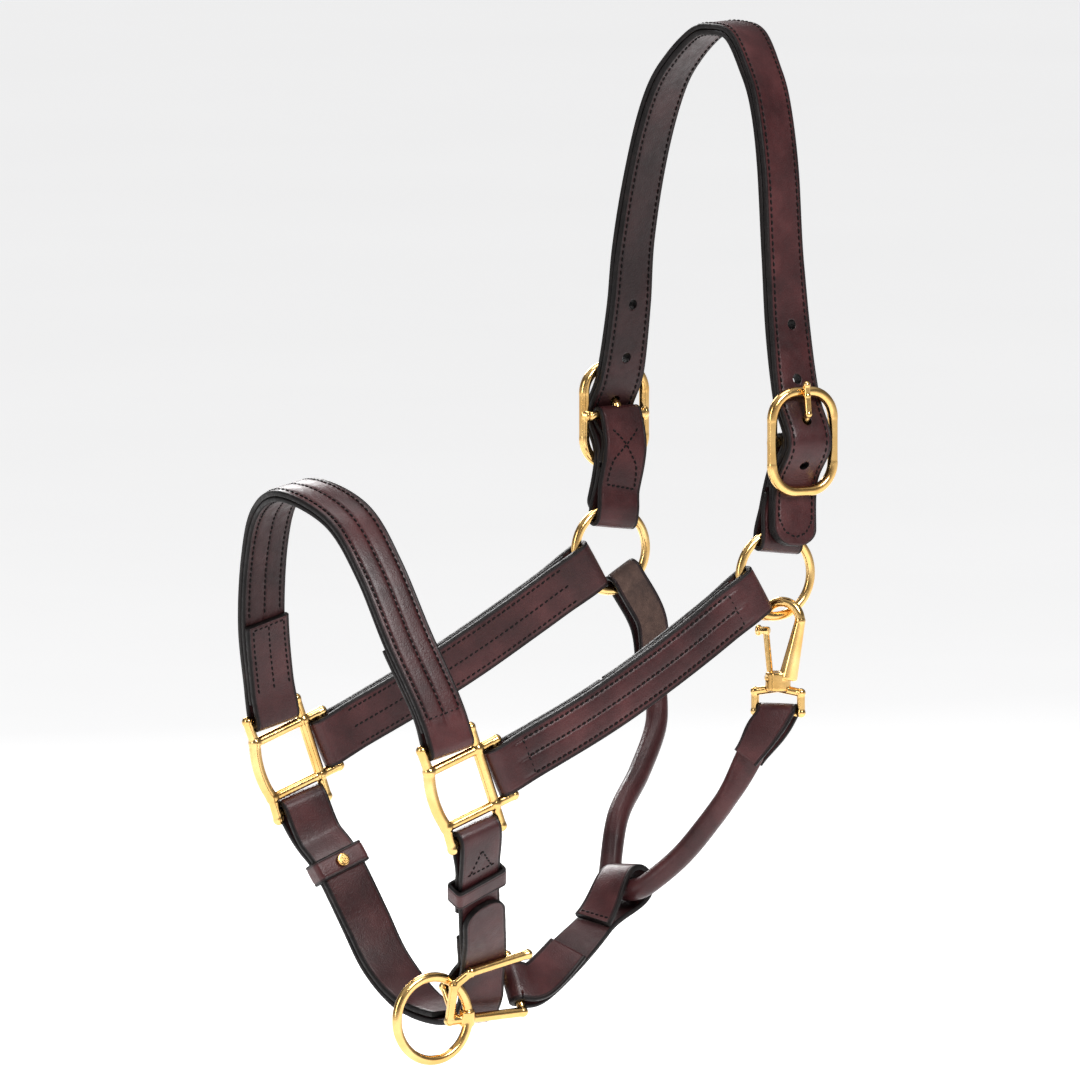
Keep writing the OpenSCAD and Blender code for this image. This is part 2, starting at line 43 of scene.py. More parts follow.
# ---------------------------------------------------------------- sizes, as in part.scad, in mm
STRAP_W, LEATHER_T, LINING_T, FILLER_T, CHAPE_T = 25.4, 3.0, 2.6, 1.4, 2.4
ROLL_D, HOLE_D = 11.0, 5.2
BAR_D, RING_WIRE, RING_OD = 4.0, 4.4, 46.0
BAR_GAP = BAR_D / 2 + 0.3
RING_GAP = RING_WIRE / 2 + 0.35
RING_R = (RING_OD - RING_WIRE) / 2
FOLD_SEAT = math.sqrt((RING_R - RING_WIRE / 2) ** 2 - (STRAP_W / 2) ** 2) + RING_GAP - 0.25
LUG_REACH = 25.4 / 2 + BAR_D / 2 + 9.3
CROWN_LAYER, LAYER_GAP = 2.8, 0.2
PITCH = 3.4            # one stitch
STEP = 1.3             # spacing of the rings along a strap
ROW = 9.3              # a stitch row's distance from the middle of a strap


def vec(*v):
    return np.array(v, float)


def unit(v):
    return v / np.linalg.norm(v)


def flip(v):
    return vec(-v[0], v[1], v[2])


RING_C = vec(77, -21, -264)
SQUARE_C = vec(82.5, -208, -360)
TILT = math.radians(20)
SQUARE_U = vec(0, math.cos(TILT), math.sin(TILT))
SQUARE_V = vec(0, -math.sin(TILT), math.cos(TILT))
BUCKLE_BAR = vec(85, -12, -197)


# ---------------------------------------------------------------- curves and stations
def smooth_at(points, x):
    last = len(points) - 1
    i = int(min(math.floor(x), last - 1))
    t = x - i

    def pick(k):
        if k < 0:
            return 2 * points[0] - points[1]
        if k > last:
            return 2 * points[last] - points[last - 1]
        return points[k]

    a, b, c, d = pick(i - 1), pick(i), pick(i + 1), pick(i + 2)
    return 0.5 * (2 * b + (c - a) * t + (2 * a - 5 * b + 4 * c - d) * t ** 2
                  + (3 * b - a - 3 * c + d) * t ** 3)


def blend_at(values, x):
    i = int(min(math.floor(x), len(values) - 2))
    return values[i] + (values[i + 1] - values[i]) * (x - i)


def station(points, widths, x):
    """Centre, width direction and outward direction of a strap at x along its points."""
    last = len(points) - 1
    along = unit(smooth_at(points, min(x + 0.02, last)) - smooth_at(points, max(x - 0.02, 0)))
    across = blend_at(widths, x)
    across = unit(across - along * across.dot(along))
    return smooth_at(points, x), across, np.cross(across, along)


def spine(points, widths, step=STEP):
    """Stations at an even spacing along the smooth curve through the points."""
    points = [vec(*p) for p in points]
    widths = [vec(*w) for w in widths]
    xs = np.linspace(0, len(points) - 1, 40 * len(points))
    at = np.array([smooth_at(points, x) for x in xs])
    length = np.concatenate([[0], np.cumsum(np.linalg.norm(np.diff(at, axis=0), axis=1))])
    count = max(4, int(length[-1] / step))
    return [station(points, widths, np.interp(s, length, xs))
            for s in np.linspace(0, length[-1], count + 1)]


def lengths(line):
    c = np.array([s[0] for s in line])
    return np.concatenate([[0], np.cumsum(np.linalg.norm(np.diff(c, axis=0), axis=1))])


def lean(angles):
    return [(0, math.cos(math.radians(a)), math.sin(math.radians(a))) for a in angles]


def ease(x):
    x = np.clip(x, 0, 1)
    return x * x * (3 - 2 * x)


def turned(s, along, r, k=14):
    c, w, n = s
    out = []
    for a in np.linspace(0, math.pi, k + 1):
        d = -math.cos(a) * n + math.sin(a) * along
        out.append((c + r * d, w, d))
    return out


def folded(line, gap_a, gap_b, mid_gap, ramp, t, back_a, back_b, hold_b=0):
    """The legs of a strap folded round a bar at each end, in order from the first cut end."""
    s = lengths(line)
    total = s[-1]
    gap = mid_gap + (gap_a - mid_gap) * (1 - ease(s / ramp)) + (gap_b - mid_gap) * (
        1 - ease((total - s - hold_b) / ramp))
    out = gap + t / 2
    n = len(line) - 1

    def leg(i, sign):
        c, w, d = line[i]
        return c + sign * out[i] * d, w, sign * d

    back_first = [leg(i, -1) for i in range(n, 0, -1) if s[i] <= back_a]
    first_turn = turned(line[0], unit(line[0][0] - line[1][0]), out[0])
    outer = [leg(i, 1) for i in range(1, n)]
    c, w, d = line[n]
    last_turn = turned((c, w, -d), unit(line[n][0] - line[n - 1][0]), out[n])
    back_last = [leg(i, -1) for i in range(n - 1, -1, -1) if total - s[i] <= back_b]
    return {"back_a": back_first, "turn_a": first_turn, "outer": outer,
            "turn_b": last_turn, "back_b": back_last}


def joined(legs):
    return [s for part in legs.values() for s in part]


# ---------------------------------------------------------------- materials
def material(name, make):
    m = bpy.data.materials.new(name)
    m.use_nodes = True
    nodes, links = m.node_tree.nodes, m.node_tree.links
    shader = nodes["Principled BSDF"]
    place = nodes.new("ShaderNodeTexCoord").outputs["Object"]

    def noise(scale, detail=4.0, rough=0.55, stretch=None):
        n = nodes.new("ShaderNodeTexNoise")
        n.inputs["Scale"].default_value = scale
        n.inputs["Detail"].default_value = detail
        n.inputs["Roughness"].default_value = rough
        if stretch:
            mapping = nodes.new("ShaderNodeMapping")
            mapping.inputs["Scale"].default_value = stretch
            links.new(place, mapping.inputs["Vector"])
            links.new(mapping.outputs[0], n.inputs["Vector"])
        else:
            links.new(place, n.inputs["Vector"])
        return n.outputs["Fac"]

    def cells(scale, feature="F1"):
        n = nodes.new("ShaderNodeTexVoronoi")
        n.feature = feature
        n.inputs["Scale"].default_value = scale
        links.new(place, n.inputs["Vector"])
        return n.outputs["Distance"]

    def ramp(value, stops):
        n = nodes.new("ShaderNodeValToRGB")
        links.new(value, n.inputs["Fac"])
        while len(n.color_ramp.elements) < len(stops):
            n.color_ramp.elements.new(0.5)
        for e, (at, colour) in zip(n.color_ramp.elements, stops):
            e.position = at
            e.color = (*colour, 1) if isinstance(colour, tuple) else (colour, colour, colour, 1)
        return n.outputs["Color"]

    def mix(a, b, fac=0.5, mode="MIX"):
        n = nodes.new("ShaderNodeMix")
        n.data_type = "RGBA"
        n.blend_type = mode
        if isinstance(fac, float):
            n.inputs["Factor"].default_value = fac
        else:
            links.new(fac, n.inputs["Factor"])
        for value, socket in ((a, n.inputs[6]), (b, n.inputs[7])):
            if isinstance(value, tuple):
                socket.default_value = (*value, 1)
            else:
                links.new(value, socket)
        return n.outputs[2]

    def bump(height, distance, strength=1.0, under=None):
        n = nodes.new("ShaderNodeBump")
        n.inputs["Distance"].default_value = distance
        n.inputs["Strength"].default_value = strength
        links.new(height, n.inputs["Height"])
        if under is not None:
            links.new(under, n.inputs["Normal"])
        return n.outputs["Normal"]

    def put(socket, value):
        if isinstance(value, (int, float)):
            shader.inputs[socket].default_value = value
        elif isinstance(value, tuple):
            shader.inputs[socket].default_value = (*value, 1)
        else:
            links.new(value, shader.inputs[socket])

    make(noise, cells, ramp, mix, bump, put)
    return m


def leather(dark, mid, light, rough, coat):
    """Bridle leather: pulled-up colour in clouds, fine pores and grain, and a waxed finish."""
    def make(noise, cells, ramp, mix, bump, put):
        clouds = ramp(noise(38, 5), [(0.34, dark), (0.52, mid), (0.7, light)])
        specks = ramp(cells(1500), [(0.0, 0.55), (0.35, 1.0)])
        put("Base Color", mix(clouds, specks, 0.45, "MULTIPLY"))
        put("Roughness", ramp(noise(260, 4), [(0.35, rough - 0.07), (0.7, rough + 0.1)]))
        grain = bump(cells(1250, "SMOOTH_F1"), 0.00022, 0.55)
        fine = bump(noise(2600, 3), 0.00012, 0.5, grain)
        put("Normal", bump(noise(95, 3), 0.0006, 0.35, fine))
        put("Coat Weight", coat)
        put("Coat Roughness", 0.28)
        put("Specular IOR Level", 0.24)
    return make


def edge_paint(noise, cells, ramp, mix, bump, put):
    colour = ramp(noise(150, 5), [(0.35, (0.004, 0.003, 0.003)), (0.62, (0.008, 0.006, 0.006)),
                                  (0.8, (0.02, 0.011, 0.01))])
    put("Base Color", colour)
    put("Roughness", ramp(noise(420, 3), [(0.3, 0.42), (0.75, 0.62)]))
    put("Normal", bump(noise(520, 4), 0.0003, 0.5))
    put("Specular IOR Level", 0.14)


def flesh_side(noise, cells, ramp, mix, bump, put):
    fibres = noise(900, 6, 0.7)
    colour = ramp(noise(120, 6, 0.7), [(0.3, (0.035, 0.018, 0.014)), (0.55, (0.075, 0.04, 0.03)),
                                       (0.8, (0.13, 0.075, 0.055))])
    put("Base Color", mix(colour, ramp(fibres, [(0.3, 0.6), (0.7, 1.0)]), 0.6, "MULTIPLY"))
    put("Roughness", 0.85)
    put("Normal", bump(fibres, 0.0004, 0.7))


def waxed_thread(noise, cells, ramp, mix, bump, put):
    put("Base Color", ramp(noise(700, 2), [(0.3, (0.002, 0.0015, 0.0015)), (0.8, (0.007, 0.005, 0.005))]))
    put("Roughness", ramp(noise(900, 2), [(0.3, 0.5), (0.8, 0.7)]))
    put("Normal", bump(noise(3200, 2, 0.5, (1, 1, 0.3)), 0.0002, 0.6))
    put("Specular IOR Level", 0.12)


def polished_brass(noise, cells, ramp, mix, bump, put):
    colour = ramp(noise(60, 4), [(0.3, (0.68, 0.40, 0.13)), (0.55, (0.78, 0.50, 0.19)), (0.8, (0.86, 0.60, 0.27))])
    put("Base Color", colour)
    put("Metallic", 1.0)
    wear = ramp(noise(420, 6, 0.7), [(0.35, 0.13), (0.62, 0.2), (0.82, 0.32)])
    put("Roughness", wear)
    scratches = bump(noise(1500, 3, 0.6, (1, 0.12, 1)), 0.00005, 0.25)
    put("Normal", bump(noise(140, 2), 0.0003, 0.16, scratches))


def cotton(noise, cells, ramp, mix, bump, put):
    put("Base Color", ramp(noise(800, 3), [(0.3, (0.2, 0.16, 0.11)), (0.8, (0.4, 0.34, 0.25))]))
    put("Roughness", 0.9)
    put("Normal", bump(noise(1600, 3), 0.0003, 0.6))


FACE = material("havana_face", leather((0.022, 0.0058, 0.0064), (0.040, 0.0105, 0.0112),
                                       (0.066, 0.019, 0.0195), 0.38, 0.12))
LINING = material("havana_lining", leather((0.014, 0.0045, 0.005), (0.025, 0.0075, 0.008),
                                           (0.040, 0.0125, 0.013), 0.46, 0.05))
BORDER = material("havana_border", leather((0.008, 0.003, 0.0035), (0.014, 0.005, 0.0055),
                                           (0.024, 0.008, 0.0085), 0.45, 0.05))
EDGE = material("edge_paint", edge_paint)
FLESH = material("flesh_side", flesh_side)
THREAD = material("waxed_thread", waxed_thread)
BRASS = material("polished_brass", polished_brass)
COTTON = material("cotton_cord", cotton)


# ---------------------------------------------------------------- mesh pieces
def add_piece(name, verts, faces, materials, face_material=None, smooth=True):
    mesh = bpy.data.meshes.new(name)
    mesh.from_pydata([tuple(v * MM) for v in verts], [], faces)
    for m in materials:
        mesh.materials.append(m)
    if face_material is not None:
        mesh.polygons.foreach_set("material_index", face_material)
    mesh.polygons.foreach_set("use_smooth", [smooth] * len(mesh.polygons))
    mesh.validate()
    mesh.update()
    obj = bpy.data.objects.new(name, mesh)
    bpy.context.scene.collection.objects.link(obj)
    return obj


def settle(obj, node, body):
    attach(obj, body)
    if node:
        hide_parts(node)
    return obj


def profile(w, t, rows, crown, pad=0.0):
    """Cross-section of a strap: (across, out, sunk or raised by, kind), the face first.

    The face has a stitch channel at each row, a pad between neighbouring rows and a crease near each edge."""
    r = min(0.9, t * 0.36)
    top = np.concatenate([[w / 2 - r], np.linspace(w / 2 - r - 0.25, r + 0.25 - w / 2, 44), [r - w / 2]])
    rise = -sum((0.3 * np.exp(-((top - q) / 0.65) ** 2) for q in rows), np.zeros_like(top))
    for a, b in zip(rows, rows[1:]):
        x = (top - a) / (b - a)
        rise += np.where((x > 0) & (x < 1), pad * (1 - np.abs(2 * x - 1) ** 3.5), 0)
    crease = np.exp(-((np.abs(top) - (w / 2 - 1.7)) / 0.28) ** 2) * 0.26
    dome = crown * (1 - (2 * top / w) ** 2)
    points = [(p, t / 2 + d - c, k, 3 if abs(p) > w / 2 - 1.6 else 0)
              for p, d, c, k in zip(top, dome, crease, rise)]
    for a in np.linspace(90, 180, 5)[1:]:
        a = math.radians(a)
        points.append((-w / 2 + r + r * math.cos(a), t / 2 - r + r * math.sin(a), 0, 1))
    for a in np.linspace(180, 270, 5):
        a = math.radians(a)
        points.append((-w / 2 + r + r * math.cos(a), -t / 2 + r + r * math.sin(a), 0, 1))
    for p in np.linspace(r - w / 2, w / 2 - r, 9)[1:-1]:
        points.append((p, -t / 2, 0, 2))
    for a in np.linspace(270, 360, 5):
        a = math.radians(a)
        points.append((w / 2 - r + r * math.cos(a), -t / 2 + r + r * math.sin(a), 0, 1))
    for a in np.linspace(0, 90, 5)[:-1]:
        a = math.radians(a)
        points.append((w / 2 - r + r * math.cos(a), t / 2 - r + r * math.sin(a), 0, 1))
    return points


def kinds_of(shape):
    """The material slot of the strip between each profile point and the next."""
    out = []
    for a, b in zip(shape, shape[1:] + shape[:1]):
        pair = {a[3], b[3]}
        out.append(2 if 2 in pair else 0 if pair == {0} else 3 if pair <= {0, 3} else 1)
    return out


def tip(line, length, first=False):
    """Width factors that round off one end of a strap."""
    s = lengths(line)
    d = s if first else s[-1] - s
    return np.sqrt(1 - (np.maximum(0, length - d) / (length + 0.3)) ** 2)


def strap(name, line, w, t, rows=(), crown=0.15, pad=0.0, narrow=None, under=LINING, seed=0,
          face=FACE, stitched=(12, 12)):
    """A leather strap swept through the stations; the worked face starts and ends at stitched."""
    shape = profile(w, t, rows, crown, pad)
    s = lengths(line)
    rng = np.random.default_rng(seed + 11)
    wave = rng.uniform(0, 2 * math.pi, 5)
    worked = ease((s - stitched[0] + 5) / 5) * ease((s[-1] - stitched[1] + 5 - s) / 5)
    verts, faces, paint = [], [], []
    for i, (c, across, out) in enumerate(line):
        f = narrow[i] if narrow is not None else 1.0
        sunk = worked[i] * (0.8 + 0.2 * math.cos(2 * math.pi * s[i] / PITCH))
        drift = 0.12 * math.sin(s[i] / 17 + wave[0]) + 0.08 * math.sin(s[i] / 7.3 + wave[1])
        for p, q, k, _ in shape:
            edge = 0.13 * math.sin(s[i] / 11 + wave[2] + (2 if p > 0 else 0)) * abs(2 * p / w) ** 3
            lift = k * (sunk if k < 0 else worked[i]) + drift * (0.3 if q > 0 else 0)
            verts.append(c + (p * f + math.copysign(1, p) * edge) * across + (q + lift) * out)
    k = len(shape)
    kinds = kinds_of(shape)
    for i in range(len(line) - 1):
        for j in range(k):
            faces.append((i * k + j, (i + 1) * k + j, (i + 1) * k + (j + 1) % k, i * k + (j + 1) % k))
            paint.append(kinds[j])
    for end, turn in ((0, 1), (len(line) - 1, -1)):
        ring = list(range(end * k, end * k + k))
        centre = len(verts)
        verts.append(np.mean([verts[v] for v in ring], axis=0))
        for j in range(k):
            a, b = ring[j], ring[(j + 1) % k]
            faces.append((centre, a, b) if turn > 0 else (centre, b, a))
            paint.append(1)
    return add_piece(name, verts, faces, [face, EDGE, under, BORDER], paint)


def stitch_template():
    rings, sides = 7, 7
    pts, quads = [], []
    for i in range(rings):
        u = i / (rings - 1)
        r = math.sqrt(max(0.0, 1 - (2 * u - 1) ** 4)) if 0 < u < 1 else 0.22
        for j in range(sides):
            a = 2 * math.pi * j / sides
            pts.append((2 * u - 1, r * math.cos(a), r * math.sin(a) - 0.5 * (2 * u - 1) ** 2))
    for i in range(rings - 1):
        for j in range(sides):
            quads.append((i * sides + j, i * sides + (j + 1) % sides,
                          (i + 1) * sides + (j + 1) % sides, (i + 1) * sides + j))
    quads.append(tuple(range(sides))[::-1])
    quads.append(tuple((rings - 1) * sides + j for j in range(sides)))
    return np.array(pts), quads


STITCH = stitch_template()


class Thread:
    """Collects the stitches of one strap into one piece."""

    def __init__(self):
        self.verts, self.faces = [], []

    def stitch(self, centre, along, out, length=2.7, thick=0.52, slant=0.12):
        side = np.cross(out, along)
        along = unit(along + slant * side)
        side = unit(np.cross(out, along))
        base = len(self.verts)
        pts, quads = STITCH
        for x, y, z in pts:
            self.verts.append(centre + along * (x * length / 2) + side * (y * thick) + out * (z * thick))
        self.faces += [tuple(base + i for i in q) for q in quads]

    def row(self, line, across, height, start=0.0, stop=None, pitch=PITCH):
        """Stitches along a line of stations, at an offset across it and a height above its middle."""
        s = lengths(line)
        stop = s[-1] if stop is None else stop
        index = np.arange(len(line))
        count = int((stop - start) / pitch)
        for i in range(count + 1):
            at = start + (stop - start) * (i + 0.5) / (count + 1)
            x = np.interp(at, s, index)
            a = int(min(x, len(line) - 2))
            f = x - a
            c = line[a][0] * (1 - f) + line[a + 1][0] * f
            w = unit(line[a][1] * (1 - f) + line[a + 1][1] * f)
            n = unit(line[a][2] * (1 - f) + line[a + 1][2] * f)
            t = unit(line[a + 1][0] - line[a][0])
            self.stitch(c + across * w + height * n, t, n, pitch * 0.76)

    def path(self, line, points, height, pitch=PITCH * 0.85):
        """Stitches along straight runs between (length along, across) points on a strap's face."""
        s = lengths(line)
        index = np.arange(len(line))
        for (s0, p0), (s1, p1) in zip(points, points[1:]):
            run = math.hypot(s1 - s0, p1 - p0)
            count = max(1, round(run / pitch))
            for i in range(count):
                f = (i + 0.5) / count
                x = np.interp(s0 + (s1 - s0) * f, s, index)
                a = int(min(x, len(line) - 2))
                c = line[a][0] + (line[a + 1][0] - line[a][0]) * (x - a)
                w, n = line[a][1], line[a][2]
                t = unit(line[a + 1][0] - line[a][0])
                d = unit(t * (s1 - s0) + w * (p1 - p0))
                self.stitch(c + (p0 + (p1 - p0) * f) * w + height * n, d, n, run / count * 0.78)

    def made(self, name, body, slot):
        piece = add_piece(name, self.verts, self.faces, [THREAD])
        return settle(piece, None, body)


def part_of(line, start, stop):
    s = lengths(line)
    stop = s[-1] + stop if stop <= 0 else stop
    return [q for q, at in zip(line, s) if start <= at <= stop]


def between(line, clear):
    return part_of(line, clear, -clear)


def shifted(line, out):
    return [(c + out * n, w, n) for c, w, n in line]


def reversed_line(line):
    return [(c, w, -n) for c, w, n in line]


# ---------------------------------------------------------------- crown
ROOT = "headcollar"
crown_leg = [(86.5, -17, -249), (82.3, -13.4, -218), (93.2, -12.3, -197), (82.2, -12, -175.5),
             (74.4, -12, -142), (69.6, -12, -108), (60.2, -9, -62), (48.6, -6.3, -31),
             (35, -4, -13.5), (17.5, -1, 0)]
crown_points = [(-x, y, z) for x, y, z in crown_leg] + [(0, 0, 2.9)] + crown_leg[::-1]
crown_turns = [90, 90, 90, 91, 98, 104, 106, 107, 109, 110]
crown_widths = [(math.cos(math.radians(a)), math.sin(math.radians(a)), 0)
                for a in crown_turns + [110] + crown_turns[::-1]]
crown_line = spine(crown_points, crown_widths)
crown_out = 1 if crown_line[len(crown_line) // 2][2][2] > 0 else -1
if crown_out < 0:
    crown_line = [(c, -w, -n) for c, w, n in crown_line]
CROWN_HOLES = (1.5, 2.45, 3.28, 4.06)


def punch(piece, points, widths, holes, d):
    """Cuts round holes through a strap and gives their walls the edge colour."""
    cutter_mesh = bpy.data.meshes.new("punch")
    verts, faces = [], []
    for x in holes:
        c, w, n = station([vec(*p) for p in points], [vec(*q) for q in widths], x)
        side = np.cross(n, w)
        base = len(verts)
        for end in (-9, 9):
            for j in range(28):
                a = 2 * math.pi * j / 28
                verts.append(tuple((c + end * n + d / 2 * (math.cos(a) * w + math.sin(a) * side)) * MM))
        for j in range(28):
            k = (j + 1) % 28
            faces.append((base + j, base + k, base + 28 + k, base + 28 + j))
        faces.append(tuple(base + j for j in range(28))[::-1])
        faces.append(tuple(base + 28 + j for j in range(28)))
    cutter_mesh.from_pydata(verts, [], faces)
    cutter_mesh.materials.append(EDGE)
    cutter_mesh.update()
    cutter = bpy.data.objects.new("punch", cutter_mesh)
    bpy.context.scene.collection.objects.link(cutter)
    cut = piece.modifiers.new("holes", "BOOLEAN")
    cut.object = cutter
    cut.operation = "DIFFERENCE"
    cut.solver = "EXACT"
    cut.material_mode = "TRANSFER"
    apply_modifiers(piece)
    bpy.data.objects.remove(cutter)


def apply_modifiers(obj):
    graph = bpy.context.evaluated_depsgraph_get()
    made = bpy.data.meshes.new_from_object(obj.evaluated_get(graph))
    obj.modifiers.clear()
    obj.data = made


hole_places = [x for h in CROWN_HOLES for x in (h, 20 - h)]
crown_shift = (CROWN_LAYER + LAYER_GAP) / 2
crown_top = shifted(crown_line, crown_shift)
crown_under = shifted(crown_line, -crown_shift)
CROWN_ROW = 9.6
crown_rows = (-CROWN_ROW, CROWN_ROW)
tips = tip(crown_line, 9) * tip(crown_line, 9, True)
piece = strap("crown_outer_leather", crown_top, STRAP_W, CROWN_LAYER, crown_rows, 0.1, 0.3, tips)
punch(piece, crown_points, crown_widths, hole_places, HOLE_D)
settle(piece, "crown_outer", ROOT)
piece = strap("crown_lining_leather", reversed_line(crown_under), STRAP_W, CROWN_LAYER, crown_rows, 0.05, 0.2,
              tips, seed=1, under=FACE, face=LINING)
punch(piece, crown_points, crown_widths, hole_places, HOLE_D)
settle(piece, "crown_lining", ROOT)
thread = Thread()
for layer in (crown_top, reversed_line(crown_under)):
    total = lengths(layer)[-1]
    for p in crown_rows:
        thread.row(layer, p, CROWN_LAYER / 2 + 0.08, 13, total - 13)
    for at, turn in ((13, -9), (total - 13, 9)):
        thread.path(layer, [(at, -CROWN_ROW), (at + turn * 0.72, -6), (at + turn, 0), (at + turn * 0.72, 6),
                            (at, CROWN_ROW)], CROWN_LAYER / 2 + 0.05)
thread.made("crown_stitching", ROOT, "strap_leather")


# ---------------------------------------------------------------- chapes
chape_points = [BUCKLE_BAR, (79.2, -12, -208), (76.7, -14.2, -219), (76.6, -17.7, -235),
                RING_C + FOLD_SEAT * unit(vec(0, 3, 28))]


def mirrored(line, far):
    return [(flip(c), flip(w), flip(n)) for c, w, n in line] if far else line


for side in ("near", "far"):
    far = side == "far"
    line = mirrored(spine(chape_points, [(0, 1, 0)] * 5), far)
    if far:
        line = [(c, -w, n) for c, w, n in line]
    legs = folded(line, BAR_GAP, RING_GAP, 0.2, 13, CHAPE_T, 28, 24, 4)
    ordered = joined(legs)
    piece = strap(side + "_chape_leather", ordered, STRAP_W - 1, CHAPE_T, (), 0.1, seed=3 + far)
    slot_cut = bpy.data.meshes.new("slot")
    x = -1 if far else 1
    corners = [(BUCKLE_BAR + vec(dx, dy, dz)) * vec(x, 1, 1) * MM
               for dx in (-8, 10) for dy in (-2.6, 2.6) for dz in (-6, 13)]
    slot_cut.from_pydata([tuple(c) for c in corners], [],
                         [(0, 1, 3, 2), (4, 6, 7, 5), (0, 4, 5, 1), (2, 3, 7, 6), (0, 2, 6, 4), (1, 5, 7, 3)])
    slot_cut.materials.append(EDGE)
    slot_cut.update()
    cutter = bpy.data.objects.new("slot", slot_cut)
    bpy.context.scene.collection.objects.link(cutter)
    cut = piece.modifiers.new("slot", "BOOLEAN")
    cut.object = cutter
    cut.operation = "DIFFERENCE"
    cut.material_mode = "TRANSFER"
    apply_modifiers(piece)
    bpy.data.objects.remove(cutter)
    settle(piece, side + "_chape", ROOT)
    thread = Thread()
    face = legs["outer"]
    total = lengths(face)[-1]
    for run in ([(8, -7.5), (16, 0), (25, 6.8), (31, 8), (total - 16, 8.2)],
                [(8, 7.5), (16, 0), (25, -6.8), (31, -8), (total - 16, -8.2)],
                [(total - 15, -8.5), (total - 15, 8.5)]):
        thread.path(face, run, CHAPE_T / 2 + 0.2)
    thread.made(side + "_chape_stitching", ROOT, "strap_leather")


# ---------------------------------------------------------------- cheeks
cheek_start = SQUARE_C + LUG_REACH * SQUARE_U
cheek_end = RING_C + FOLD_SEAT * unit(vec(0, -67, -40.5))
cheek_points = [cheek_start, (82.5, -137, -330), (80.5, -88, -304.5), cheek_end]
TURN_BACK = 46


def lined_strap(name, nodes, line, mid, inner_t, backs, gap_b, seed, hold_b=0):
    """A strap turned back round a bar at each end, over a filler or lining, stitched in three rows."""
    rows = (-ROW, 0, ROW)
    legs = folded(line, BAR_GAP, gap_b, mid, 20, LEATHER_T, *backs, hold_b)
    first = lengths(legs["back_a"] + legs["turn_a"])[-1] + 12
    last = lengths(legs["turn_b"] + legs["back_b"])[-1] + 12
    piece = strap(name + "_outer_leather", joined(legs), STRAP_W, LEATHER_T, rows, 0.15, 0.5, seed=seed,
                  stitched=(first, last))
    settle(piece, nodes[0], ROOT)
    inner = reversed_line(between(line, 8))
    visible = backs[0] + backs[1] < lengths(line)[-1] - 20
    piece = strap(name + "_lining_leather", inner, STRAP_W, inner_t, rows if visible else (), 0.05,
                  0.3 if visible else 0.0, seed=seed + 1, under=FACE, face=LINING, stitched=(30, 30))
    settle(piece, nodes[1], ROOT)
    thread = Thread()
    outer = legs["outer"]
    total = lengths(outer)[-1]
    for p in rows:
        thread.row(outer, p, LEATHER_T / 2 + 0.18, 14.5, total - 14.5)
        if visible:
            thread.row(inner, p, inner_t / 2 + 0.05, backs[0] - 7, lengths(inner)[-1] - backs[1] + 7)
    for at in (14, total - 14):
        thread.path(outer, [(at, -ROW), (at, ROW)], LEATHER_T / 2 + 0.3)
    for leg, starts in ((legs["back_a"], False), (legs["back_b"], True)):
        reach = lengths(leg)[-1]
        lo, hi = (14, reach - 2) if starts else (2, reach - 14)
        for p in rows:
            thread.row(leg, p, LEATHER_T / 2 + 0.12, lo, hi)
        if visible:
            at = lo if not starts else hi
            thread.path(leg, [(at, -ROW), (at, ROW)], LEATHER_T / 2 + 0.15)
    thread.made(name + "_stitching", ROOT, "strap_leather")


for side in ("near", "far"):
    line = spine(cheek_points, [(0, 0.47, -0.88)] * 4)
    total = lengths(line)[-1]
    if side == "far":
        line = [(flip(c), -flip(w), flip(n)) for c, w, n in line]
    lined_strap(side + "_cheek", (side + "_cheek_outer", side + "_cheek_lining"), line, FILLER_T / 2 + LAYER_GAP,
                FILLER_T, (0.43 * total - 0.7, 0.57 * total - 0.7), RING_GAP, 20 if side == "near" else 30, 4)

# ---------------------------------------------------------------- noseband
nose_leg = [tuple(SQUARE_C + LUG_REACH * SQUARE_V), (79.5, -221, -319), (68, -231, -287),
            (53, -238.5, -253), (33, -244.5, -228)]
nose_points = nose_leg + [(0, -251, -218)] + [(-x, y, z) for x, y, z in nose_leg[::-1]]
nose_widths = lean([20, 20, 18, 16, 14, 12, 14, 16, 18, 20, 20])
lined_strap("noseband", ("noseband_outer", "noseband_lining"), spine(nose_points, nose_widths),
            LINING_T / 2 + LAYER_GAP, LINING_T, (56, 56), BAR_GAP, 40)


# ---------------------------------------------------------------- brass
def casting(name, node, body, voxel=0.35, rounds=6, swell=0.2):
    """A polished casting: the node's own shape with its joints flowing into each other."""
    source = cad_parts[node]
    obj = bpy.data.objects.new(name, source.data.copy())
    bpy.context.scene.collection.objects.link(obj)
    remesh = obj.modifiers.new("cast", "REMESH")
    remesh.mode = "VOXEL"
    remesh.voxel_size = voxel * MM
    grow = obj.modifiers.new("swell", "DISPLACE")
    grow.strength = swell * MM
    grow.mid_level = 0
    relax = obj.modifiers.new("polish", "SMOOTH")
    relax.factor = 0.5
    relax.iterations = rounds
    apply_modifiers(obj)
    obj.data.materials.clear()
    obj.data.materials.append(BRASS)
    obj.data.polygons.foreach_set("use_smooth", [True] * len(obj.data.polygons))
    return settle(obj, node, body)


